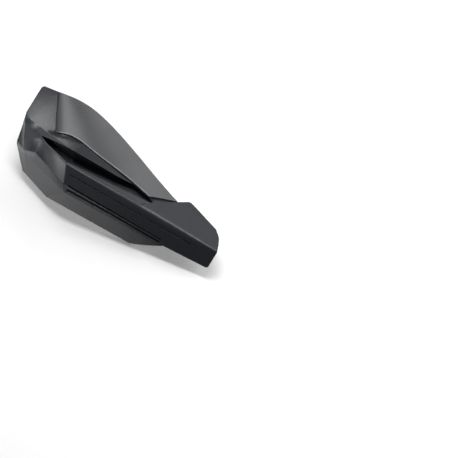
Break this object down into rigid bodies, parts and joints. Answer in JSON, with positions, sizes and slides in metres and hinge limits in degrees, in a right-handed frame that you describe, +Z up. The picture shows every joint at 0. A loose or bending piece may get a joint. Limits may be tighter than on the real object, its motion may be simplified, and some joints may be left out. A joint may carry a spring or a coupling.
{
  "type": "motorcycle hand guard",
  "caption": "Open moulded hand guard for the left end of a motorcycle handlebar: faceted shell with a spine, an air channel and a screwed-on upper wind deflector.",
  "frame": {"origin": "middle of the two mounting holes, on the flat underside of the tail where the bracket bears", "axes": "+X along the spine to the mounting end, +Y back towards the rider, +Z up, out of the tail's top plate"},
  "size_m": [0.2605, 0.0963, 0.0718],
  "materials": {
    "shell_plastic": "fine moulded grain, satin black",
    "deflector_plastic": "smooth satin black",
    "screw_steel": "zinc plated",
    "insert_brass": "turned"
  },
  "bodies": {
    "root": {"guard_shell": "shell_plastic", "upper_deflector": "deflector_plastic", "deflector_screws": "screw_steel", "mount_inserts": "insert_brass"}
  },
  "joints": []
}
